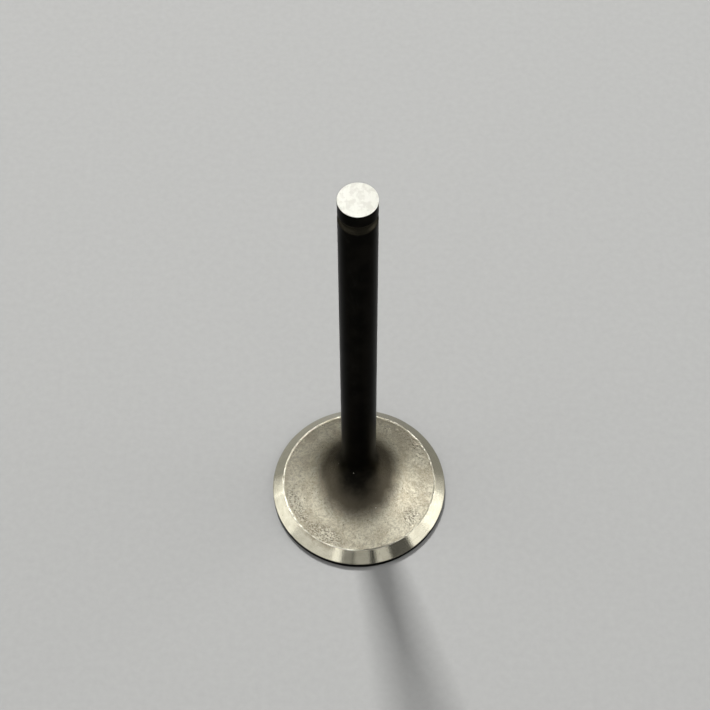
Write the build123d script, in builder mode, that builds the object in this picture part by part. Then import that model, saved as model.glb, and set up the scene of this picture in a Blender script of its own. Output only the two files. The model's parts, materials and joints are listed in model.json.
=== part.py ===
from build123d import *
import os
from math import radians, sqrt, tan

# Engine valve: a poppet valve, forged in one piece, then turned and ground. Millimetres.
# It stands on its combustion face at z = 0 with the stem up, and the stem's axis is Z.

# ---- Stem and tip ----
overall_length = 84.6  # combustion face to tip face
stem_diameter = 5.5  # ground, runs in the valve guide
tip_chamfer = 0.1  # edge break round the tip face

# ---- Keeper groove, turned with a round-nosed tool ----
tip_land = 2.5  # tip face to the groove's upper edge
groove_radius = 0.85  # nose of the tool
groove_depth = 0.45  # below the stem's surface
groove_edge_radius = 0.08  # where the groove meets the stem and the tip land

# ---- Head: angles are measured from the head's own plane ----
head_diameter = 28.6
margin_thickness = 1.1  # straight rim between combustion face and seat
face_chamfer = 0.2  # edge break between combustion face and margin
seat_angle = 45  # ground cone that seals the port
seat_width = 2.4  # along the cone
seat_land = 0.25  # flat ledge that the grinding leaves where the seat ends
underside_angle = 18  # forged back of the head
neck_radius = 10.8  # sweeps the back of the head up into the stem
flank_share = 0.95  # most of the underside's flank that the neck may use up

# ---- Sizes that follow ----
stem_radius = stem_diameter / 2
head_radius = head_diameter / 2
groove_half_width = sqrt(groove_radius**2 - (groove_radius - groove_depth) ** 2)
groove_height = overall_length - tip_land - groove_half_width
nose_centre = stem_radius - groove_depth + groove_radius


def neck_fillet(flank_length):
    """The neck's radius: as driven, or the largest that its flank leaves room for."""
    half_turn = radians(90 - underside_angle) / 2
    return min(neck_radius, flank_share * flank_length / tan(half_turn))


with BuildPart() as valve:
    # Half section, from the axis out along the combustion face, up the head and stem, and back at the tip.
    with BuildSketch(Plane.XZ) as section:
        with BuildLine():
            face = Line((0, 0), (head_radius, 0))
            margin = Line(face @ 1, (head_radius, margin_thickness))
            seat = PolarLine(margin @ 1, seat_width, angle=180 - seat_angle)
            ledge = PolarLine(seat @ 1, seat_land, angle=180)
            underside = PolarLine(
                ledge @ 1,
                (ledge @ 1).X - stem_radius,
                angle=180 - underside_angle,
                length_mode=LengthMode.HORIZONTAL,
            )
            stem = Line(underside @ 1, (stem_radius, overall_length))
            tip = Line(stem @ 1, (0, overall_length))
            Line(tip @ 1, face @ 0)
        make_face()

        # The groove that the two split keepers grip.
        tool_nose = (nose_centre, groove_height)
        with Locations(tool_nose):
            Circle(groove_radius, mode=Mode.SUBTRACT)
        groove_corners = section.vertices().sort_by_distance(tool_nose)[:2]
        fillet(groove_corners, radius=groove_edge_radius)

        # The neck, and the edge breaks round the tip face and the combustion face.
        neck_corner = section.vertices().sort_by_distance(underside @ 1)[0]
        fillet(neck_corner, radius=neck_fillet(underside.length))
        tip_corner = section.vertices().sort_by_distance(stem @ 1)[0]
        chamfer(tip_corner, length=tip_chamfer)
        face_corner = section.vertices().sort_by_distance(face @ 1)[0]
        chamfer(face_corner, length=face_chamfer)
    revolve(axis=Axis.Z)

valve.part.label = "engine_valve"
os.makedirs("parts", exist_ok=True)
export_step(valve.part, "parts/engine_valve.step")
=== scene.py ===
# %% [markdown]
# # An engine valve, standing on its head
# A poppet valve is one piece of steel. The head closes a port of the engine, the stem slides in a guide,
# and two small keepers grip the groove near the tip. It is forged first, which leaves the soft grey-brown
# skin on the back of the head. The stem is then given a hard black case, and the seat and the tip are
# ground bright through it. This lesson lays that history over the solid, finish by finish.
#
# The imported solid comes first, because the valve is dressed to its sizes. Lengths are in metres, the
# stem's axis is Z, and the valve stands on z = 0.

# %% Load the solid
import json
import math

import bpy
import numpy as np
from mathutils import Matrix, Vector


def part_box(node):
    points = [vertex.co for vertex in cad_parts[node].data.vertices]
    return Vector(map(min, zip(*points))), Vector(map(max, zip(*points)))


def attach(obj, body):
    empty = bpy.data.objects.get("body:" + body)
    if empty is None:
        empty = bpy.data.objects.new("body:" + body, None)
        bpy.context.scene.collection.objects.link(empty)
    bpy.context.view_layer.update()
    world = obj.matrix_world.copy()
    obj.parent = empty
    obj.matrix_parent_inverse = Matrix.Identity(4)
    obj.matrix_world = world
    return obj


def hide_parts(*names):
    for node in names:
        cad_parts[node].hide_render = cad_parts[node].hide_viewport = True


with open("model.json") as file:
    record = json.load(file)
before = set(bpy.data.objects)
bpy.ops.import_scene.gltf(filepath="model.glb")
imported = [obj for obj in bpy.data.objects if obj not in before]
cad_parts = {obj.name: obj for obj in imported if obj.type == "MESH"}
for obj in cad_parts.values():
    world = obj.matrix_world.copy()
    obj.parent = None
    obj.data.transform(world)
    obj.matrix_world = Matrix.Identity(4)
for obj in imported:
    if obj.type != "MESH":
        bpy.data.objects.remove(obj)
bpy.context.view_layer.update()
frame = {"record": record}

MM = 0.001

# %% [markdown]
# ## The sizes
# What can be read from the solid is read from it: the overall box, the stem's radius and the height of the
# groove. The rest are the cone angles, widths and radii that the solid was drawn from. Only the edges of
# the tip and the groove are broken more finely. The outline's corners follow by plain trigonometry.

# %% Sizes
low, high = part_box("engine_valve")
mounts = {mount["name"]: mount for mount in frame["record"]["mounts"]}
head_radius = high.x
length = high.z
stem_radius = mounts["stem"]["dims"]["r_mm"] * MM
groove_height = mounts["keeper_groove"]["pos_m"][2]

face_chamfer = 0.2 * MM
margin_thickness = 1.1 * MM
seat_angle = math.radians(45)
seat_width = 2.4 * MM
seat_land = 0.25 * MM
underside_angle = math.radians(18)
neck_radius = 10.8 * MM
groove_radius = 0.85 * MM
groove_depth = 0.45 * MM
tip_break = 0.03 * MM

seat_end = (
    head_radius - seat_width * math.cos(seat_angle),
    margin_thickness + seat_width * math.sin(seat_angle),
)
ledge_end = (seat_end[0] - seat_land, seat_end[1])
neck_foot = (stem_radius, ledge_end[1] + (ledge_end[0] - stem_radius) * math.tan(underside_angle))
neck_top = neck_foot[1] + neck_radius * math.tan((math.pi / 2 - underside_angle) / 2)
print(f"seat ends at radius {seat_end[0] / MM:.2f} mm, neck reaches up to {neck_top / MM:.2f} mm")

# %% [markdown]
# ## The outline
# A turned part is half an outline swept round an axis. Real edges are never quite sharp, and a tiny arc on
# each one is what catches a line of light. So the outline is a chain of straight runs, and each corner has a
# radius of its own. The corner is replaced by the arc that touches both runs. It starts radius x
# tan(turn / 2) before the corner. The neck is the same thing with a radius of almost eleven millimetres, so
# one function draws both.

# %% One rounded corner
def arc_between(before, corner, after, radius, steps, ease=1.0):
    """Points on the arc of this radius that touches both runs at the corner.

    The arc's centre lies radius / cos(turn / 2) from the corner, on the line that halves it. Its points are
    centre + radius x (cos, sin) of an angle that goes from one touching point to the other. An ease above 1
    sets the first points closer together.
    """
    run_in = (corner - before) / np.linalg.norm(corner - before)
    run_out = (after - corner) / np.linalg.norm(after - corner)
    turn = math.acos(np.clip(run_in @ run_out, -1, 1))
    inward = run_out - run_in
    inward /= np.linalg.norm(inward)
    centre = corner + inward * radius / math.cos(turn / 2)
    start = corner - run_in * radius * math.tan(turn / 2) - centre
    first = math.atan2(start[1], start[0])
    way = math.copysign(1, run_in[0] * run_out[1] - run_in[1] * run_out[0])
    angles = first + way * turn * np.linspace(0, 1, steps + 1) ** ease
    return centre + radius * np.stack([np.cos(angles), np.sin(angles)], axis=1)


square = np.array([(0.0, 0.0), (1.0, 0.0), (1.0, 1.0)])
print("a square corner with a radius of a half:", arc_between(*square, 0.5, 2).round(2).tolist())

# %% [markdown]
# Between the arcs are straight stretches. Every point also keeps the number of its run, because that is
# what later tells the seat from the stem.

# %% All corners in a row
def rounded_outline(runs):
    """The outline's points, and for each the number of its run.

    Each run is (end corner, corner radius, arc steps, point spacing, ease). Straight stretches are divided
    evenly. Half of each small arc goes to either run, and a large one belongs to the run that it ends.
    """
    corners = [np.zeros(2)] + [np.array(run[0], float) for run in runs]
    points, owner = [corners[0][None]], [np.zeros(1, int)]
    for i, (_, radius, steps, spacing, ease) in enumerate(runs):
        corner = corners[i + 1]
        if radius:
            arc = arc_between(corners[i], corner, corners[i + 2], radius, steps, ease)
        else:
            arc = corner[None]
        start = points[-1][-1]
        count = max(1, math.ceil(np.linalg.norm(arc[0] - start) / spacing))
        share = np.linspace(0, 1, count + 1)[1:-1, None]
        points += [start + share * (arc[0] - start), arc]
        own = len(arc) if radius > MM else (len(arc) + 1) // 2
        owner += [np.full(count - 1 + own, i), np.full(len(arc) - own, i + 1)]
    return np.concatenate(points), np.concatenate(owner)


bare_corner = [((1, 0), 0, 0, 0.5, 1), ((1, 1), 0, 0, 0.5, 1)]
print("the runs of a bare corner's points:", rounded_outline(bare_corner)[1].tolist())

# %% The valve's outline
RUNS = ("combustion face", "face chamfer", "margin", "seat", "ledge", "forged back")
RUNS += ("stem", "groove", "tip land", "tip chamfer", "tip face")
edge = 0.04 * MM
groove_reach = 0.95 * MM
outline, run_of_row = rounded_outline([
    ((head_radius - face_chamfer, 0), edge, 2, 1.8 * MM, 1),
    ((head_radius, face_chamfer), edge, 2, 0.2 * MM, 1),
    ((head_radius, margin_thickness), edge, 3, 0.3 * MM, 1),
    (seat_end, edge, 3, 0.22 * MM, 1),
    (ledge_end, edge, 2, 0.08 * MM, 1),
    (neck_foot, neck_radius, 66, 0.16 * MM, 1.25),
    ((stem_radius, groove_height - groove_reach), 0, 0, 3 * MM, 1),
    ((stem_radius, groove_height + groove_reach), 0, 0, 0.065 * MM, 1),
    ((stem_radius, length - tip_break), edge / 4, 1, 0.6 * MM, 1),
    ((stem_radius - tip_break, length), edge / 4, 1, 0.1 * MM, 1),
    ((0, length), 0, 0, 0.5 * MM, 1),
])
print("outline:", len(outline), "points")

# %% [markdown]
# ## The keeper groove
# The groove is turned with a round-nosed tool. Its depth at a height z is how far a circle of the tool's
# radius reaches into the stem there: sqrt(radius² - (z - middle)²) less the part of the radius that stays
# outside. A soft maximum of that and zero, instead of a hard one, also breaks the two edges.

# %% Cut the groove
soft_edge = 0.02 * MM
from_middle = np.clip(np.abs(outline[:, 1] - groove_height), 0, groove_radius)
bite = np.sqrt(groove_radius**2 - from_middle**2) - (groove_radius - groove_depth)
in_groove = run_of_row == RUNS.index("groove")
outline[in_groove, 0] -= soft_edge * np.logaddexp(0, bite[in_groove] / soft_edge)
print(f"groove: {2 * (stem_radius - outline[in_groove, 0].min()) / MM:.2f} mm off the diameter")

# %% [markdown]
# ## Sweeping it round
# The outline is swept by multiplying its radii with unit vectors that point every way on the floor. The
# result is a grid of points: one row for each point of the outline, one column for each bearing. What
# follows works on the whole grid at once.

# %% Sweep the outline
AROUND = 512


def bearing(degrees):
    """Unit vectors on the floor, for angles counted from -Y towards +X."""
    angle = np.radians(degrees)
    return np.stack([np.sin(angle), -np.cos(angle)], axis=-1)


turn = np.arange(AROUND) * 360 / AROUND
grid = np.empty((len(outline), AROUND, 3))
grid[..., :2] = outline[:, None, :1] * bearing(turn)
grid[..., 2] = outline[:, 1:]
print("grid:", grid.shape)

# %% [markdown]
# ## Marks of the forge and of handling
# The back of the head keeps the skin that it was forged with: it rolls gently, and it is dented where hot
# scale was pressed in and where valves have knocked together in a bin. Those are real shape, so they move
# the surface along its normal.
#
# The knocks aren't spread evenly. They lie in clusters near the seat, where one valve's rim meets the next
# one's back, and some of them nick the seat's inner edge. A cluster is a bearing and its spread in degrees,
# a radius and its reach, and a strength. A few single knocks lie anywhere.

# %% Knocks
SCUFFS = [
    (-31, 15, 11.5 * MM, 1.2 * MM, 1.0),
    (-66, 20, 11.3 * MM, 1.0 * MM, 0.7),
    (52, 9, 10.9 * MM, 1.3 * MM, 0.6),
    (128, 30, 11.3 * MM, 1.0 * MM, 0.45),
]
KNOCKS_IN_A_CLUSTER = 50
SINGLE_KNOCKS = 16
back_rows = np.isin(run_of_row, [RUNS.index("ledge"), RUNS.index("forged back")])
rng = np.random.default_rng(11)


def cluster(count, middle, spread, inner, outer):
    """Random places on the back of the head, about one bearing, between two radii."""
    angle = rng.normal(middle, spread, count)
    radius = rng.uniform(inner, outer, count)
    height = np.interp(radius, outline[back_rows, 0][::-1], outline[back_rows, 1][::-1])
    return np.concatenate([radius[:, None] * bearing(angle), height[:, None]], axis=1)


knocks = []
for middle, spread, radius, reach, strength in SCUFFS:
    count = round(KNOCKS_IN_A_CLUSTER * strength)
    knocks.append(cluster(count, middle, 0.6 * spread, radius - 0.9 * reach, radius + 0.9 * reach))
knocks.append(cluster(SINGLE_KNOCKS, 0, 110, 7.0 * MM, 12.6 * MM))
knocks = np.concatenate(knocks)
print("knocks:", len(knocks))

# %% [markdown]
# Each knock leaves a dent, a bell of its own depth and width. The bells are simply added up.

# %% Dents
def dents(points, centres, depth, width):
    """Bell-shaped dents: each lowers the surface by depth x exp(-(distance / width)²)."""
    lowered = np.zeros(points.shape[:-1])
    for centre, deep, wide in zip(centres, depth, width):
        away = ((points - centre) ** 2).sum(axis=-1)
        lowered -= deep * np.exp(-away / wide**2)
    return lowered


DEPTHS = (0.015, 0.06)
WIDTHS = (0.12, 0.3)
depth = rng.uniform(*DEPTHS, len(knocks)) * MM
width = rng.uniform(*WIDTHS, len(knocks)) * MM
skin = dents(grid, knocks, depth, width)
print(f"deepest dent: {-skin.min() / MM:.3f} mm")

# %% [markdown]
# The rolls are a sum of waves with random directions. Waves in space, rather than on the unrolled surface,
# have no seam round the part. Their lengths go from under one millimetre to more than four.

# %% Rolls
def rolls(points, wavelengths, height):
    """A smooth random relief: many sine waves, each with its own direction, length and phase.

    It is height / sqrt(count) x the sum of sin(2 pi x (place . direction) / wavelength + phase).
    """
    ways = rng.normal(size=(len(wavelengths), 3))
    ways /= np.linalg.norm(ways, axis=1, keepdims=True)
    phase = rng.uniform(0, 2 * np.pi, len(wavelengths))
    waves = np.sin(points @ (2 * np.pi * ways / wavelengths[:, None]).T + phase)
    return height * waves.sum(axis=-1) / math.sqrt(len(wavelengths))


roll_lengths = rng.uniform(0.9, 4.5, 60) * MM
roll_height = 0.007 * MM
skin += rolls(grid, roll_lengths, roll_height)
print(f"highest roll: {skin.max() / MM:.3f} mm")

# %% [markdown]
# The relief belongs to the forged skin alone. It is full from the seat's ledge to the foot of the neck and
# fades out up the neck, because the stem above it is ground.

# %% Shape the back of the head
fade_over = 2 * MM
fade = np.clip((outline[:, 0] - stem_radius) / fade_over, 0, 1)
fade = fade * fade * (3 - 2 * fade) * back_rows
normal = np.gradient(outline, axis=0)
normal = np.stack([normal[:, 1], -normal[:, 0]], axis=1)
normal /= np.linalg.norm(normal, axis=1, keepdims=True)
lift = skin * fade[:, None]
grid[..., :2] += (normal[:, None, :1] * lift[..., None]) * bearing(turn)
grid[..., 2] += normal[:, 1:] * lift
print(f"relief: {lift.min() / MM:.3f} to {lift.max() / MM:.3f} mm")

# %% [markdown]
# The finishes need to know where the surface is scuffed, too, so that dark and bright flecks gather where
# the dents do. That is one number for each point: the strongest of the clusters there, each of them a bell
# over bearing and radius.

# %% Where it is scuffed
scuffed = np.zeros(grid.shape[:2])
for middle, spread, radius, reach, strength in SCUFFS:
    off = (turn - middle + 180) % 360 - 180
    bell = np.exp(-((off / spread) ** 2)) * np.exp(-(((outline[:, :1] - radius) / reach) ** 2))
    scuffed = np.maximum(scuffed, strength * bell)
print(f"scuffed: {(scuffed > 0.1).sum()} of {scuffed.size} points")

# %% [markdown]
# ## The mesh
# The grid becomes one closed skin. Each row is a ring, neighbouring rings are joined by quads, and at the
# two ends, where the radius is zero, a single point closes the ring with a fan of triangles. Corners are
# listed so that every face points outwards.

# %% Join the rings
def lathe_mesh(name, grid, bottom, top):
    """One closed mesh from rings of points, with a point at either end.

    Point j of ring i has the number i x around + j. Its quad runs on to point j + 1 and up to ring i + 1.
    """
    rings, around, _ = grid.shape
    number = np.arange(rings * around).reshape(rings, around)
    beside = np.roll(number, -1, axis=1)
    quads = np.stack([number[:-1], beside[:-1], beside[1:], number[1:]], axis=-1).reshape(-1, 4)
    foot = np.full(around, rings * around)
    lower = np.stack([foot, beside[0], number[0]], axis=1)
    upper = np.stack([foot + 1, number[-1], beside[-1]], axis=1)
    mesh = bpy.data.meshes.new(name)
    points = np.concatenate([grid.reshape(-1, 3), [bottom, top]])
    mesh.from_pydata(points.tolist(), [], lower.tolist() + quads.tolist() + upper.tolist())
    return mesh


valve_mesh = lathe_mesh("engine valve", grid[1:-1], (0, 0, 0), (0, 0, length))
valve = bpy.data.objects.new("valve", valve_mesh)
bpy.context.scene.collection.objects.link(valve)
attribute = valve_mesh.attributes.new("scuffed", "FLOAT", "POINT")
attribute.data.foreach_set("value", np.append(scuffed[1:-1].ravel(), [0, 0]).astype(np.float32))
triangles = sum(len(face.vertices) - 2 for face in valve_mesh.polygons)
print(f"valve: {len(valve_mesh.vertices)} points, {triangles} triangles")

# %% [markdown]
# Each face remembers its run, because that is what gives it its material. A face belongs to the later run
# of the two rings that it joins. The combustion face and the tip are planes, so they are shaded flat.
# Shaded smooth, the normals of their rims would lean over the edge, and a dark line would run round them.

# %% Runs of the faces
run_of_ring = run_of_row[1:-1]
face_run = np.repeat(np.maximum(run_of_ring[:-1], run_of_ring[1:]), AROUND)
face_run = np.concatenate([np.zeros(AROUND, int), face_run, np.full(AROUND, len(RUNS) - 1)])
plane = np.isin(face_run, [RUNS.index("combustion face"), RUNS.index("tip face")])
valve_mesh.polygons.foreach_set("use_smooth", ~plane)
print("faces:", {name: int((face_run == i).sum()) for i, name in enumerate(RUNS)})

# %% [markdown]
# ## A place on the part
# Every finish on a turned part follows its axis: tool lines run round it, wear depends on the radius, and
# the black case ends at a height. So the first node group turns a place on the part into millimetres, a
# radius, a height and a bearing. It is built once and used in every material. The place comes from Object
# coordinates, so a pattern stays on the steel however it is turned.

# %% A node group
def new_group(name, inputs, outputs):
    """A shader node group with named sockets; inputs are (name, kind, value), outputs (name, kind)."""
    group = bpy.data.node_groups.new(name, "ShaderNodeTree")
    for socket_name, kind, value in inputs:
        socket = group.interface.new_socket(
            socket_name, in_out="INPUT", socket_type="NodeSocket" + kind)
        socket.default_value = value
    for socket_name, kind in outputs:
        group.interface.new_socket(socket_name, in_out="OUTPUT", socket_type="NodeSocket" + kind)
    given = group.nodes.new("NodeGroupInput").outputs
    out = group.nodes.new("NodeGroupOutput").inputs
    return group, given, out


place_group, given, out = new_group(
    "place on the part",
    [("Place", "Vector", (0, 0, 0))],
    [("Millimetres", "Vector"), ("Radius", "Float"), ("Height", "Float"), ("Bearing", "Vector")],
)
print("node group:", place_group.name, "with", len(place_group.interface.items_tree), "sockets")

# %% [markdown]
# A finish is a tree of small nodes, and writing each one out would bury the idea. So there are a few short
# words for it. Here are the first: fill a socket, add a node, do a step of arithmetic on vectors.

# %% Fill the group
def put(tree, value, socket):
    """Link a socket to another one, or write a plain value into it."""
    if isinstance(value, bpy.types.NodeSocket):
        tree.links.new(value, socket)
    else:
        socket.default_value = value


def add(tree, kind, settings=None, **inputs):
    """A new node with its settings made and its named inputs filled."""
    node = tree.nodes.new("ShaderNode" + kind)
    for key, value in (settings or {}).items():
        setattr(node, key, value)
    for key, value in inputs.items():
        put(tree, value, node.inputs[key.replace("_", " ")])
    return node


def calculate_vector(tree, operation, *values):
    """One step of arithmetic on vectors."""
    node = add(tree, "VectorMath", {"operation": operation})
    for socket, value in zip(node.inputs, values):
        put(tree, value, socket)
    return node


scaled = calculate_vector(place_group, "SCALE", given["Place"])
scaled.inputs["Scale"].default_value = 1 / MM
across = calculate_vector(place_group, "MULTIPLY", scaled.outputs[0], (1, 1, 0))
length_across = calculate_vector(place_group, "LENGTH", across.outputs[0])
unit = calculate_vector(place_group, "NORMALIZE", across.outputs[0])
split = add(place_group, "SeparateXYZ", Vector=scaled.outputs[0])
put(place_group, scaled.outputs[0], out["Millimetres"])
put(place_group, length_across.outputs["Value"], out["Radius"])
put(place_group, split.outputs["Z"], out["Height"])
put(place_group, unit.outputs[0], out["Bearing"])
print("nodes in it:", len(place_group.nodes))

# %% [markdown]
# ## Four effects that the finishes share
# Tool lines are the fine rings that a lathe or a grinding wheel leaves. They are noise that changes fast
# along the profile and slowly round the axis, which is what a real tool mark does.

# %% Tool lines
def calculate(tree, operation, *values):
    """One step of arithmetic on numbers."""
    node = add(tree, "Math", {"operation": operation})
    for socket, value in zip(node.inputs, values):
        put(tree, value, socket)
    return node.outputs["Value"]


lines_group, given, out = new_group(
    "tool lines",
    [("Along", "Float", 0), ("Bearing", "Vector", (0, 0, 0)), ("Lines", "Float", 8), ("Waver", "Float", 1)],
    [("Lines", "Float")],
)
way = add(lines_group, "SeparateXYZ", Vector=given["Bearing"])
lines_vector = add(
    lines_group, "CombineXYZ",
    X=calculate(lines_group, "MULTIPLY", given["Along"], given["Lines"]),
    Y=calculate(lines_group, "MULTIPLY", way.outputs["X"], given["Waver"]),
    Z=calculate(lines_group, "MULTIPLY", way.outputs["Y"], given["Waver"]),
)
lines_noise = add(
    lines_group, "TexNoise", Vector=lines_vector.outputs[0],
    Scale=1, Detail=3, Roughness=0.6,
)
put(lines_group, lines_noise.outputs[0], out["Lines"])
print("node group:", lines_group.name)

# %% [markdown]
# Mottled skin is what heat and scale leave: soft patches with a fine grain over them. The patches are noise
# whose place has itself been shifted by noise, which bends their outlines and keeps them from looking like
# clouds. A ramp then sharpens them.

# %% Mottled skin
def ramp(tree, value, start, end, low=0.0, high=1.0):
    """A smooth step: low up to start, high from end on."""
    node = add(tree, "MapRange", {"interpolation_type": "SMOOTHSTEP"})
    for socket, number in zip(node.inputs, (value, start, end, low, high)):
        put(tree, number, socket)
    return node.outputs["Result"]


skin_group, given, out = new_group(
    "mottled skin",
    [("Place", "Vector", (0, 0, 0)), ("Patch", "Float", 2), ("Grain", "Float", 0.2)],
    [("Patches", "Float"), ("Grain", "Float")],
)
warp = add(skin_group, "TexNoise", Vector=given["Place"], Scale=0.9, Detail=2)
shifted = calculate_vector(skin_group, "MULTIPLY_ADD", warp.outputs[1], (1.2, 1.2, 1.2), given["Place"])
patches = add(
    skin_group, "TexNoise", Vector=shifted.outputs[0],
    Scale=calculate(skin_group, "DIVIDE", 1, given["Patch"]), Detail=4, Roughness=0.55,
)
grain = add(
    skin_group, "TexNoise", Vector=given["Place"],
    Scale=calculate(skin_group, "DIVIDE", 1, given["Grain"]), Detail=3, Roughness=0.6,
)
put(skin_group, ramp(skin_group, patches.outputs[0], 0.34, 0.66), out["Patches"])
put(skin_group, ramp(skin_group, grain.outputs[0], 0.3, 0.7), out["Grain"])
print("node group:", skin_group.name)

# %% [markdown]
# Specks are pits or bright points. Space is divided into cells with one point each, and a speck is what
# lies close to that point. Each cell also has a random colour. One channel of it gives the speck's size,
# another decides whether it is kept, so the specks don't look evenly sown.

# %% Specks
specks_group, given, out = new_group(
    "specks",
    [("Place", "Vector", (0, 0, 0)), ("Spacing", "Float", 0.6), ("Size", "Float", 0.1),
     ("Share", "Float", 0.5)],
    [("Specks", "Float")],
)
cells = add(
    specks_group, "TexVoronoi", Vector=given["Place"],
    Scale=calculate(specks_group, "DIVIDE", 1, given["Spacing"]),
)
chance = add(specks_group, "SeparateColor", Color=cells.outputs["Color"])
away = calculate(specks_group, "MULTIPLY", cells.outputs["Distance"], given["Spacing"])
size_share = ramp(specks_group, chance.outputs[1], 0, 1, 0.5, 1.5)
reach = calculate(specks_group, "MULTIPLY", given["Size"], size_share)
near = ramp(specks_group, calculate(specks_group, "DIVIDE", away, reach), 0.6, 1, 1, 0)
kept = calculate(specks_group, "LESS_THAN", chance.outputs[0], given["Share"])
put(specks_group, calculate(specks_group, "MULTIPLY", near, kept), out["Specks"])
print("node group:", specks_group.name)

# %% [markdown]
# Hairlines are stray scratches: the borders of very long thin cells, turned a little against the axis. A
# slow noise hides most of them, so that they come singly.

# %% Hairlines
hair_group, given, out = new_group(
    "hairlines",
    [("Place", "Vector", (0, 0, 0)), ("Turn", "Vector", (0, 0, 0)), ("Width", "Float", 0.02)],
    [("Hairlines", "Float")],
)
turned = add(
    hair_group, "VectorRotate", {"rotation_type": "EULER_XYZ"},
    Vector=given["Place"], Rotation=given["Turn"],
)
stretched = calculate_vector(hair_group, "MULTIPLY", turned.outputs[0], (1.0, 9.0, 0.35))
streaks = add(
    hair_group, "TexVoronoi", {"feature": "DISTANCE_TO_EDGE"},
    Vector=stretched.outputs[0], Scale=0.55,
)
gate = add(hair_group, "TexNoise", Vector=given["Place"], Scale=0.6, Detail=2)
thin = ramp(hair_group, streaks.outputs["Distance"], 0, given["Width"], 1, 0)
single = ramp(hair_group, gate.outputs[0], 0.48, 0.62)
put(hair_group, calculate(hair_group, "MULTIPLY", thin, single), out["Hairlines"])
print("node group:", hair_group.name)

# %% [markdown]
# ## Starting a finish
# Each finish is a Principled BSDF of its own. What is the same all over, such as how strongly it shines or
# which way its scratches lie, is set on the shader itself. What changes over the surface is linked into it.

# %% Start a material
def use(tree, group, **inputs):
    """A copy of a node group, with its named inputs filled; gives back its outputs."""
    node = tree.nodes.new("ShaderNodeGroup")
    node.node_tree = group
    for key, value in inputs.items():
        put(tree, value, node.inputs[key])
    return node.outputs


def new_finish(name, glancing=1.0, anisotropic=0.0):
    """A metal with an empty tree, its Principled BSDF and the place on the part.

    Glancing is how strongly it still shines at its outline, where a bare metal would shine fully.
    """
    material = bpy.data.materials.new(name)
    material.use_nodes = True
    tree = material.node_tree
    shader = tree.nodes["Principled BSDF"]
    shader.inputs["Metallic"].default_value = 1.0
    shader.inputs["Specular Tint"].default_value = (glancing, glancing, glancing, 1)
    if anisotropic:
        shader.inputs["Anisotropic"].default_value = anisotropic
        shader.inputs["Anisotropic Rotation"].default_value = 0.25
        tangent = add(tree, "Tangent", {"direction_type": "RADIAL", "axis": "Z"})
        put(tree, tangent.outputs[0], shader.inputs["Tangent"])
    coordinates = tree.nodes.new("ShaderNodeTexCoord").outputs["Object"]
    return material, tree, shader.inputs, use(tree, place_group, Place=coordinates)


# %% [markdown]
# A finish is then built up like paint: one tone, and further tones laid over it through masks. Its relief
# is a bump of so many millimetres, and the scuffs come from the numbers that the mesh carries.

# %% Tones and relief
def lay_over(tree, tone, colour, mask, share=1.0):
    """Lay a colour over a tone where the mask is 1, at no more than this share of its strength."""
    if share != 1.0:
        mask = calculate(tree, "MULTIPLY", mask, share)
    node = add(tree, "Mix", {"data_type": "RGBA"})
    for name, value in (("Factor_Float", mask), ("A_Color", tone), ("B_Color", colour)):
        put(tree, value, next(socket for socket in node.inputs if socket.identifier == name))
    return next(socket for socket in node.outputs if socket.identifier == "Result_Color")


def bump(tree, height, depth, normal=None):
    """A relief of this depth in millimetres, laid on a normal if one is given."""
    node = add(tree, "Bump", Height=height, Strength=1.0, Distance=depth * MM)
    if normal is not None:
        put(tree, normal, node.inputs["Normal"])
    return node.outputs["Normal"]


def scuffed_mask(tree):
    """Where the clusters of knocks are, read from the mesh."""
    return add(tree, "Attribute", {"attribute_name": "scuffed"}).outputs["Fac"]


# %% [markdown]
# ## The ground seat
# The seat is ground on a wheel that follows its cone, so its scratches run round it. Such a surface is a
# mirror round the axis and a blur across it, which the shader knows as anisotropy. The grinding is bright,
# with a faint unevenness where the wheel dwelt and a few pits that it didn't reach. Beside the clusters of
# knocks it is smudged. Over one quarter, towards +X and +Y, it is darkened with painted shade, which stands
# in for the darker reflection that side of the seat shows.

# %% Finish: ground seat
SEAT_BRIGHT = (0.57, 0.545, 0.435, 1)
SEAT_UNEVEN = (0.46, 0.43, 0.33, 1)
SEAT_LINES = (0.39, 0.37, 0.29, 1)
SEAT_SMUDGE = (0.34, 0.295, 0.21, 1)
SEAT_PAINTED_SHADE = (0.27, 0.25, 0.185, 1)
SEAT_PIT = (0.16, 0.14, 0.11, 1)


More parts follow.
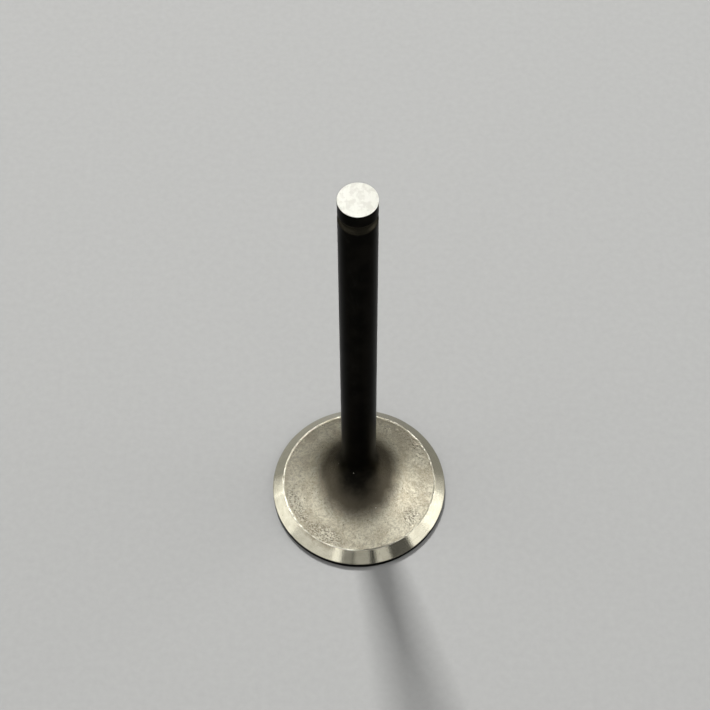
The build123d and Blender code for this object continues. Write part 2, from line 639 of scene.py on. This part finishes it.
def ground_seat():
    """Bright steel, darkened step by step: uneven, lined, smudged, painted shade on one side, pitted."""
    finish, tree, shader, place = new_finish("ground_seat", anisotropic=0.85)
    lines = use(tree, lines_group, Along=place["Radius"], Bearing=place["Bearing"], Lines=9.0, Waver=2.2)
    skin = use(tree, skin_group, Place=place["Millimetres"], Patch=1.3, Grain=0.16)
    pits = use(tree, specks_group, Place=place["Millimetres"], Spacing=0.55, Size=0.06, Share=0.22)
    beside_knocks = ramp(tree, scuffed_mask(tree), 0.01, 0.35)
    smudge = calculate(tree, "MULTIPLY", beside_knocks, ramp(tree, skin["Patches"], 0.1, 0.9, 0.25, 0.8))
    # painted shade: one quarter of the seat, about +X and +Y, is darkened to stand in for a darker
    # reflection there
    way = add(tree, "SeparateXYZ", Vector=place["Bearing"])
    painted_shade_side = calculate(tree, "ADD", way.outputs["X"], way.outputs["Y"])
    tone = lay_over(tree, SEAT_BRIGHT, SEAT_UNEVEN, skin["Patches"], 0.5)
    tone = lay_over(tree, tone, SEAT_LINES, lines["Lines"], 0.35)
    tone = lay_over(tree, tone, SEAT_SMUDGE, smudge)
    tone = lay_over(tree, tone, SEAT_PAINTED_SHADE, ramp(tree, painted_shade_side, 0.85, 1.4, 0, 0.6))
    tone = lay_over(tree, tone, SEAT_PIT, pits["Specks"])
    put(tree, tone, shader["Base Color"])
    rough = ramp(tree, lines["Lines"], 0.2, 0.8, 0.11, 0.17)
    put(tree, calculate(tree, "MULTIPLY_ADD", smudge, 0.25, rough), shader["Roughness"])
    normal = bump(tree, lines["Lines"], 0.004)
    put(tree, bump(tree, skin["Grain"], 0.0015, normal), shader["Normal"])
    return finish


seat_finish = ground_seat()
print("finish:", seat_finish.name, len(seat_finish.node_tree.nodes), "nodes")

# %% [markdown]
# ## The ledge inside the seat
# Where the seat's cut meets the forging there is a narrow flat step. Gauges and fingers rub its outer part,
# so that is burnished to a bright line, with brown left in the low spots. The rubbing comes and goes round
# the ring: one mottle changes it within a millimetre and another over seven.

# %% Finish: burnished ledge
LEDGE_PLAIN = (0.44, 0.41, 0.31, 1)
LEDGE_RUBBED = (0.88, 0.865, 0.75, 1)
LEDGE_LOW_SPOT = (0.30, 0.26, 0.20, 1)
LEDGE_PIT = (0.10, 0.08, 0.06, 1)


def burnished_ledge():
    """Plain steel, rubbed bright from just inside the middle of the ledge outwards, then pitted."""
    finish, tree, shader, place = new_finish("burnished_ledge")
    skin = use(tree, skin_group, Place=place["Millimetres"], Patch=1.1, Grain=0.12)
    stretch = use(tree, skin_group, Place=place["Millimetres"], Patch=7.0, Grain=0.5)
    pits = use(tree, specks_group, Place=place["Millimetres"], Spacing=0.3, Size=0.07, Share=0.35)
    ledge_middle = (ledge_end[0] + seat_end[0]) / 2 / MM
    rubbed = ramp(tree, place["Radius"], ledge_middle - 0.14, ledge_middle - 0.05)
    rubbed = calculate(tree, "MULTIPLY", rubbed, ramp(tree, skin["Patches"], 0, 0.8, 1, 0.45))
    rubbed = calculate(tree, "MULTIPLY", rubbed, ramp(tree, stretch["Patches"], 0.1, 0.75, 1, 0.3))
    tone = lay_over(tree, LEDGE_PLAIN, LEDGE_RUBBED, rubbed)
    tone = lay_over(tree, tone, LEDGE_LOW_SPOT, ramp(tree, skin["Grain"], 0.5, 1, 0, 0.6))
    tone = lay_over(tree, tone, LEDGE_PIT, pits["Specks"])
    put(tree, tone, shader["Base Color"])
    put(tree, ramp(tree, skin["Patches"], 0, 1, 0.3, 0.45), shader["Roughness"])
    put(tree, bump(tree, skin["Grain"], 0.006), shader["Normal"])
    return finish


ledge_finish = burnished_ledge()
print("finish:", ledge_finish.name, len(ledge_finish.node_tree.nodes), "nodes")

# %% [markdown]
# ## The forged back
# The back of the head is bare forged steel, tumbled clean: warm grey and satin, mottled with straw and
# brown at two scales, with light and dark grain over both. Where the knocks are, it has dark nicks with
# light flecks beside them. Both come from one noise, stretched and set slantwise: its peaks are the nicks
# and its hollows are the flecks.

# %% Tones of the forged skin
FORGED_PALE = (0.73, 0.685, 0.53, 1)
FORGED_BROWN = (0.43, 0.37, 0.25, 1)
FINE_BROWN = (0.36, 0.32, 0.23, 1)
GRAIN_LIGHT = (0.80, 0.765, 0.63, 1)
GRAIN_DARK = (0.36, 0.32, 0.24, 1)
FORGED_PIT = (0.13, 0.10, 0.07, 1)
NICK = (0.13, 0.11, 0.08, 1)
FLECK = (0.88, 0.85, 0.73, 1)


def forged_tone(tree, place, skin, fine):
    """The colour of the bare forging, and the mask of its nicks."""
    tone = lay_over(tree, FORGED_PALE, FORGED_BROWN, ramp(tree, skin["Patches"], 0, 1, 0, 0.8))
    tone = lay_over(tree, tone, FINE_BROWN, ramp(tree, fine["Patches"], 0.3, 1, 0, 0.6))
    tone = lay_over(tree, tone, GRAIN_LIGHT, ramp(tree, fine["Grain"], 0.35, 0.85, 0, 0.6))
    tone = lay_over(tree, tone, GRAIN_DARK, ramp(tree, skin["Grain"], 0.5, 0.95, 0, 0.5))
    pits = use(tree, specks_group, Place=place["Millimetres"], Spacing=0.7, Size=0.085, Share=0.4)
    tone = lay_over(tree, tone, FORGED_PIT, pits["Specks"])
    slanted = add(tree, "VectorRotate", {"rotation_type": "Z_AXIS"}, Vector=place["Millimetres"], Angle=0.6)
    slanted = calculate_vector(tree, "MULTIPLY", slanted.outputs[0], (3.1, 5.4, 3.1))
    noise = add(tree, "TexNoise", Vector=slanted.outputs[0], Scale=1.0, Detail=4, Roughness=0.62)
    worn = ramp(tree, scuffed_mask(tree), 0.03, 0.55)
    nicks = calculate(tree, "MULTIPLY", ramp(tree, noise.outputs[0], 0.52, 0.59), worn)
    flecks = calculate(tree, "MULTIPLY", ramp(tree, noise.outputs[0], 0.41, 0.46, 1, 0), worn)
    tone = lay_over(tree, tone, NICK, nicks, 0.85)
    return lay_over(tree, tone, FLECK, flecks, 0.45), nicks


print("forged skin: tones from", NICK[:3], "to", FLECK[:3])

# %% [markdown]
# ## Where the black case runs out
# Towards the stem the forging runs into the black case. The edge of the case isn't a line, because the salt
# that hardens the stem creeps and splashes. So the case is two masks on the radius, a brown one that reaches
# far out and a black one inside it. Patches of the skin make both uneven. A slow change with the bearing
# lets them reach further out in front and behind than at the sides. That extra reach is painted shade,
# standing in for the darker reflection of the neck in front, while the rest is the case's own edge. Close to
# the stem that change fades, so that the black is whole where the stem begins.

# %% Masks of the case
BLACK_EDGE = (2.8, 5.9)
BROWN_EDGE = (5.6, 9.0)


def case_masks(tree, place, skin):
    """Brown and black masks that are 1 near the stem and 0 on the bare back.

    The edge of the brown is drawn in by 0.25 + 0.2 x - 0.85 y² millimetres, for the bearing's x and y, and
    creeps out where that is negative. The black's is drawn in by 2.2 times as much and 0.65 more.
    """
    uneven = calculate(tree, "MULTIPLY_ADD", skin["Patches"], 0.5, place["Radius"])
    way = add(tree, "SeparateXYZ", Vector=place["Bearing"])
    # painted shade: the y² term lets the brown and the black reach further out in front and behind, standing
    # in for the darker reflection of the neck in front
    painted_shade_reach = calculate(tree, "MULTIPLY", way.outputs["Y"], way.outputs["Y"])
    sideways = calculate(tree, "MULTIPLY_ADD", way.outputs["X"], 0.2, 0.25)
    drawn_in = calculate(tree, "MULTIPLY_ADD", painted_shade_reach, -0.85, sideways)
    brown = ramp(tree, calculate(tree, "ADD", uneven, drawn_in), *BROWN_EDGE, 1, 0)
    further = calculate(tree, "MULTIPLY_ADD", drawn_in, 2.2, 0.65)
    further = calculate(tree, "MULTIPLY", further, ramp(tree, place["Radius"], 2.8, 3.7))
    black = ramp(tree, calculate(tree, "ADD", uneven, further), *BLACK_EDGE, 1, 0)
    return brown, black


print("the black fades out over", BLACK_EDGE, "and the brown over", BROWN_EDGE, "mm from the axis")

# %% [markdown]
# ## Back and neck in one finish
# One material holds the bare skin, the brown and the black, so that there is no border between them. At the
# top of the neck it has become exactly the stem's own finish, which is why that finish's three values are
# named first. Its shine at glancing angles is held down, as oil and oxide do on the real one. A few bright
# points are painted over it: painted glints, standing in for light caught by small bumps.

# %% Finish: forged back running into the black case
CASE_BLACK = (0.0055, 0.0052, 0.0045, 1)
CASE_ROUGHNESS = 0.32
CASE_GLANCING = 0.49
CASE_BROWN = (0.092, 0.080, 0.058, 1)
PAINTED_GLINT = (0.95, 0.93, 0.86, 1)


def forged_back():
    """Bare forging, browned and then blackened towards the stem, with the roughness of each."""
    finish, tree, shader, place = new_finish("forged_back", glancing=CASE_GLANCING)
    skin = use(tree, skin_group, Place=place["Millimetres"], Patch=2.4, Grain=0.22)
    fine = use(tree, skin_group, Place=place["Millimetres"], Patch=0.5, Grain=0.09)
    painted_glints = use(tree, specks_group, Place=place["Millimetres"], Spacing=1.2, Size=0.085, Share=0.3)
    tone, nicks = forged_tone(tree, place, skin, fine)
    brown, black = case_masks(tree, place, skin)
    tone = lay_over(tree, tone, CASE_BROWN, brown)
    tone = lay_over(tree, tone, CASE_BLACK, black)
    # painted glints: bright specks laid into the colour, standing in for light caught by small bumps
    tone = lay_over(tree, tone, PAINTED_GLINT, painted_glints["Specks"], 0.7)
    put(tree, tone, shader["Base Color"])
    bare = calculate(tree, "SUBTRACT", 1, black)
    bare_part = calculate(tree, "MULTIPLY", ramp(tree, fine["Patches"], 0, 1, 0.38, 0.5), bare)
    case_part = calculate(tree, "MULTIPLY", black, CASE_ROUGHNESS)
    put(tree, calculate(tree, "ADD", bare_part, case_part), shader["Roughness"])
    relief = calculate(tree, "SUBTRACT", fine["Grain"], calculate(tree, "MULTIPLY", nicks, 1.5))
    put(tree, bump(tree, calculate(tree, "MULTIPLY", relief, bare), 0.012), shader["Normal"])
    return finish


back_finish = forged_back()
print("finish:", back_finish.name, len(back_finish.node_tree.nodes), "nodes")

# %% [markdown]
# ## The black case of the stem
# The stem is ground true and then hardened in a salt bath, which leaves it black, smooth and slightly oily.
# Faint rings from the grinding wheel and a few hairlines keep it from looking like plastic. It reflects
# very little, and even at its outline it shines less than a bare metal. The margin, the groove and the land
# beside the tip have the same case over coarser turning, so one function makes all four.

# %% Finish: black case
CASE_PATCH = (0.012, 0.0108, 0.009, 1)
CASE_SCRATCH = (0.05, 0.05, 0.05, 1)
GROOVE_BLACK = (0.024, 0.0215, 0.015, 1)


def black_case(name, rougher, ring_depth, black=CASE_BLACK):
    """The case over turning or grinding, whose rings are ring_depth millimetres deep."""
    finish, tree, shader, place = new_finish(name, glancing=CASE_GLANCING)
    lines = use(tree, lines_group, Along=place["Height"], Bearing=place["Bearing"], Lines=5.0, Waver=1.5)
    skin = use(tree, skin_group, Place=place["Millimetres"], Patch=3.0, Grain=0.1)
    scratches = use(tree, hair_group, Place=place["Millimetres"], Turn=(0.1, 0.2, 0.3), Width=0.015)
    tone = lay_over(tree, black, CASE_PATCH, ramp(tree, skin["Patches"], 0, 1, 0, 0.5))
    tone = lay_over(tree, tone, CASE_SCRATCH, scratches["Hairlines"], 0.3)
    put(tree, tone, shader["Base Color"])
    rough = calculate(tree, "MULTIPLY_ADD", lines["Lines"], 0.08, CASE_ROUGHNESS - 0.04 + rougher)
    put(tree, rough, shader["Roughness"])
    put(tree, bump(tree, lines["Lines"], ring_depth), shader["Normal"])
    return finish


margin_finish = black_case("blacked_margin", 0.0, 0.006)
stem_finish = black_case("blacked_stem", 0.0, 0.0012)
groove_finish = black_case("blacked_groove", 0.06, 0.003, black=GROOVE_BLACK)
land_finish = black_case("blacked_land", 0.02, 0.003)
print("finish:", stem_finish.name, "and three like it")

# %% [markdown]
# ## The ground tip
# The end of the stem is ground flat last of all, through the case, so it shows bare steel: satin, with a
# fine straight grain and faint stains. It is the brightest spot of the valve.

# %% Finish: ground tip
TIP_BRIGHT = (0.75, 0.745, 0.68, 1)
TIP_GRAIN = (0.67, 0.665, 0.60, 1)
TIP_STAIN = (0.52, 0.50, 0.44, 1)


def ground_tip():
    """Straight grain: noise that changes 14 times a millimetre across it and slowly along it."""
    finish, tree, shader, place = new_finish("ground_tip")
    stretched = calculate_vector(tree, "MULTIPLY", place["Millimetres"], (14.0, 0.8, 1.0))
    grain = add(tree, "TexNoise", Vector=stretched.outputs[0], Scale=1, Detail=3).outputs[0]
    skin = use(tree, skin_group, Place=place["Millimetres"], Patch=0.8, Grain=0.2)
    tone = lay_over(tree, TIP_BRIGHT, TIP_GRAIN, grain)
    tone = lay_over(tree, tone, TIP_STAIN, ramp(tree, skin["Patches"], 0.3, 1, 0, 0.45))
    put(tree, tone, shader["Base Color"])
    put(tree, ramp(tree, grain, 0.2, 0.8, 0.38, 0.45), shader["Roughness"])
    put(tree, bump(tree, grain, 0.002), shader["Normal"])
    return finish


tip_finish = ground_tip()
print("finish:", tip_finish.name, len(tip_finish.node_tree.nodes), "nodes")

# %% [markdown]
# ## The face towards the flame
# The underside of the head is turned flat and then blacked in the same bath. The rings of the turning tool
# stay visible under the black, wider than a grinding wheel's.

# %% Finish: turned face
FACE_PALE = (0.10, 0.095, 0.085, 1)
FACE_DARK = (0.045, 0.042, 0.038, 1)
FACE_BROWN = (0.09, 0.075, 0.055, 1)


def turned_face():
    """Pale and dark rings about the middle, with brown patches over them."""
    finish, tree, shader, place = new_finish("turned_face", glancing=0.6)
    lines = use(tree, lines_group, Along=place["Radius"], Bearing=place["Bearing"], Lines=3.5, Waver=0.6)
    skin = use(tree, skin_group, Place=place["Millimetres"], Patch=4.0, Grain=0.3)
    tone = lay_over(tree, FACE_PALE, FACE_DARK, lines["Lines"])
    tone = lay_over(tree, tone, FACE_BROWN, skin["Patches"], 0.4)
    put(tree, tone, shader["Base Color"])
    put(tree, ramp(tree, lines["Lines"], 0.2, 0.8, 0.32, 0.5), shader["Roughness"])
    put(tree, bump(tree, lines["Lines"], 0.012), shader["Normal"])
    return finish


face_finish = turned_face()
print("finish:", face_finish.name, len(face_finish.node_tree.nodes), "nodes")

# %% [markdown]
# ## Giving each run its finish
# The faces already know their run, so a table from run to finish is all that is left. The two edge breaks
# take the finish of a neighbour. The dressed valve then stands for the solid, which stays in the physics
# but isn't drawn.

# %% Give each run its finish
finishes = {
    "combustion face": face_finish,
    "margin": margin_finish,
    "seat": seat_finish,
    "ledge": ledge_finish,
    "forged back": back_finish,
    "stem": stem_finish,
    "groove": groove_finish,
    "tip land": land_finish,
    "tip face": tip_finish,
}
same_as = {"face chamfer": "margin", "tip chamfer": "tip face"}
slots = list(finishes)
for finish in finishes.values():
    valve_mesh.materials.append(finish)
slot_of_run = np.array([slots.index(same_as.get(run, run)) for run in RUNS])
valve_mesh.polygons.foreach_set("material_index", slot_of_run[face_run].astype(np.int32))
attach(valve, "root")
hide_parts("engine_valve")
print("finishes:", slots)

# %% [markdown]
# ## The table
# The valve stands on a plain pale table, a wide flat disc a hundredth of a millimetre below the head.

# %% Table mesh
def disc_mesh(name, radius, height, rings, around):
    """A flat disc: rings of points at even steps of radius, joined by quads round one middle point."""
    angle = np.arange(around) * 2 * np.pi / around
    out_to = np.linspace(0, radius, rings + 1)[1:]
    points = out_to[:, None, None] * np.stack([np.cos(angle), np.sin(angle), 0 * angle], axis=-1)
    number = np.arange(rings * around).reshape(rings, around)
    beside = np.roll(number, -1, axis=1)
    quads = np.stack([number[:-1], number[1:], beside[1:], beside[:-1]], axis=-1).reshape(-1, 4)
    middle = np.stack([np.full(around, rings * around), number[0], beside[0]], axis=1)
    mesh = bpy.data.meshes.new(name)
    mesh.from_pydata(points.reshape(-1, 3).tolist() + [[0, 0, 0]], [], quads.tolist() + middle.tolist())
    mesh.transform(Matrix.Translation((0, 0, height)))
    return mesh


table_radius = 6.0
table_height = -0.01 * MM
table = bpy.data.objects.new("table", disc_mesh("table", table_radius, table_height, 12, 96))
bpy.context.scene.collection.objects.link(table)
print("table:", len(table.data.polygons), "faces")

# %% [markdown]
# Near the valve the table is matt and takes light and shadow. Far away no lamp reaches it, so there it
# glows as bright as it is near by, and runs into a world of the same grey without a horizon line.

# %% Table finish
TABLE_DARKER = (0.265, 0.265, 0.258, 1)
TABLE_LIGHTER = (0.30, 0.30, 0.292, 1)
FAR_PALE = (0.36, 0.36, 0.35, 1)


def pale_table():
    """A matt grey with a faint cloud in it, which turns into a glow between 0.3 and 1 metre away."""
    finish = bpy.data.materials.new("pale_table")
    finish.use_nodes = True
    tree = finish.node_tree
    shader = tree.nodes["Principled BSDF"]
    coordinates = tree.nodes.new("ShaderNodeTexCoord").outputs["Object"]
    cloud = add(tree, "TexNoise", Vector=coordinates, Scale=900.0, Detail=2)
    put(tree, lay_over(tree, TABLE_DARKER, TABLE_LIGHTER, cloud.outputs[0]), shader.inputs["Base Color"])
    shader.inputs["Roughness"].default_value = 0.8
    shader.inputs["Specular IOR Level"].default_value = 0.2
    glow = add(tree, "Emission", Color=FAR_PALE, Strength=1.0)
    far = calculate_vector(tree, "LENGTH", coordinates).outputs["Value"]
    mix = add(tree, "MixShader", Fac=ramp(tree, far, 0.3, 1.0))
    put(tree, shader.outputs[0], mix.inputs[1])
    put(tree, glow.outputs[0], mix.inputs[2])
    put(tree, mix.outputs[0], tree.nodes["Material Output"].inputs["Surface"])
    return finish


table.data.materials.append(pale_table())
print("finish:", table.data.materials[0].name)

# %% [markdown]
# ## Softboxes
# Polished metal has hardly a colour of its own. It shows what stands round it, so lighting it is mostly a
# matter of placing pale cards. Here every card is a lamp with a size, which the camera doesn't see but the
# steel does. Its strength is given as a radiance, so that 1 would look white in a perfect mirror.
#
# A small strong lamp stands high behind the valve, where the tip mirrors it, and whitens the tip. Most of
# the light from there should fall on the table alone and throw the soft shadow, or the steel would burn
# out. So its twin at the same place is hidden from glossy rays. A weak card beside it evens out the tip.

# %% Light from behind
def softbox(name, azimuth, elevation, distance, width, height, radiance):
    """A rectangular lamp that faces the valve; azimuth is counted from +X towards +Y, in degrees.

    Its power is radiance x pi x area, which gives the lamp the same brightness at any size.
    """
    lamp = bpy.data.lights.new(name, "AREA")
    lamp.shape = "RECTANGLE"
    lamp.size = width
    lamp.size_y = height
    lamp.energy = radiance * math.pi * width * height
    az, el = math.radians(azimuth), math.radians(elevation)
    toward = Vector((math.cos(el) * math.cos(az), math.cos(el) * math.sin(az), math.sin(el)))
    holder = bpy.data.objects.new(name, lamp)
    turned_to = toward.to_track_quat("Z", "Y").to_matrix().to_4x4()
    holder.matrix_world = Matrix.Translation(toward * distance + Vector((0, 0, 0.02))) @ turned_to
    holder.visible_camera = False
    bpy.context.scene.collection.objects.link(holder)
    print(f"softbox {name}: {lamp.energy:.2f} W")
    return holder


softbox("key_lamp", 104, 62, 1.0, 0.11, 0.11, 35)
softbox("shadow_lamp", 104, 62, 1.0, 0.11, 0.11, 300).visible_glossy = False
softbox("tip_card", 92, 60, 1.0, 0.30, 0.30, 0.7)

# %% [markdown]
# The back of the head rises towards the stem, so each side of it mirrors its own side of the room, the
# steep neck low down and the flat outer part high up. Cards at three heights give it a bright lobe on
# either side. The one on the right is the brighter.

# %% Light from the right
softbox("right_near", -24, 24, 1.0, 0.36, 0.56, 1.7)
softbox("right_low", 2, 12, 1.0, 0.56, 0.50, 2.0)
softbox("right_back", 24, 7, 1.0, 0.25, 0.28, 1.3)
softbox("right_high", 12, 46, 1.0, 0.60, 0.60, 3.1)
softbox("right_high_back", 54, 40, 1.0, 0.40, 0.50, 0.1)

# %% [markdown]
# The seat is a mirror round the axis, so its front shows the front of the room as a row of upright stripes.
# Narrow cards of unlike strength, side by side like the panes of a window, give it those.

# %% Light from the front
softbox("front_right", -47, 26, 1.0, 0.42, 0.50, 0.1)
softbox("front_strip", -65.5, 28, 1.0, 0.24, 0.50, 0.85)
softbox("front", -87, 30, 1.0, 0.27, 0.50, 0.58)
softbox("front_side", -102, 30, 1.0, 0.16, 0.50, 0.4)
softbox("front_left", -112.5, 28, 1.0, 0.14, 0.50, 1.6)

# %% [markdown]
# On the left are the same three heights as on the right, only weaker, and one card overhead lights the part
# of the back that faces forward.

# %% Light from the left and above
softbox("left_near", -139, 24, 1.0, 0.80, 0.56, 1.0)
softbox("left_low", 180, 12, 1.0, 0.65, 0.50, 1.5)
softbox("left_back", 156, 7, 1.0, 0.25, 0.28, 2.0)
softbox("left_high", 180, 58, 1.0, 0.56, 0.56, 2.1)
softbox("overhead", -90, 80, 1.0, 0.30, 0.35, 1.8)

# %% [markdown]
# ## The world
# The world is nearly dark overhead, so that the black case stays black. From seventeen degrees down it
# turns into the table's far grey.

# %% World
ROOM_DARK = (0.03, 0.03, 0.03, 1)
world = bpy.data.worlds.new("studio")
bpy.context.scene.world = world
world.use_nodes = True
tree = world.node_tree
background = tree.nodes["Background"]
background.inputs["Strength"].default_value = 1.0
direction = tree.nodes.new("ShaderNodeTexCoord").outputs["Generated"]
rise = add(tree, "SeparateXYZ", Vector=direction).outputs["Z"]
near_horizon = ramp(tree, rise, 0.06, 0.3, 1, 0)
put(tree, lay_over(tree, ROOM_DARK, FAR_PALE, near_horizon), background.inputs["Color"])
print("world:", world.name)

# %% [markdown]
# ## The camera
# The camera looks steeply down, from 14 centimetres in front of the valve and more than three times its
# height above the table. From so near, the tip looks large against the head. Yaw, pitch and roll are its
# turns about the upright, about its own level line and about its line of sight. They are made into its
# three axes.

# %% Camera
camera_data = bpy.data.cameras.new("camera")
camera_data.sensor_width = 36
camera_data.lens = 98.77
camera_data.clip_start = 0.01
camera = bpy.data.objects.new("camera", camera_data)
bpy.context.scene.collection.objects.link(camera)
yaw, pitch, roll = (math.radians(angle) for angle in (-0.20, 59.91, -0.39))
forward = Vector((math.sin(yaw) * math.cos(pitch), math.cos(yaw) * math.cos(pitch), -math.sin(pitch)))
level = Vector((math.cos(yaw), -math.sin(yaw), 0))
upward = level.cross(forward)
side = math.cos(roll) * level + math.sin(roll) * upward
top = -math.sin(roll) * level + math.cos(roll) * upward
stand = Vector((0, -143.8 * MM, 292.7 * MM))
camera.matrix_world = Matrix.Translation(stand) @ Matrix((side, top, -forward)).transposed().to_4x4()
bpy.context.scene.camera = camera
print("camera:", [round(v / MM, 1) for v in stand], "mm")

# %% [markdown]
# ## The view
# Last, the colours are shown through the plain Standard view transform, and the scene is brought up to date.

# %% View and finish
bpy.context.scene.view_settings.view_transform = "Standard"
bpy.context.view_layer.update()
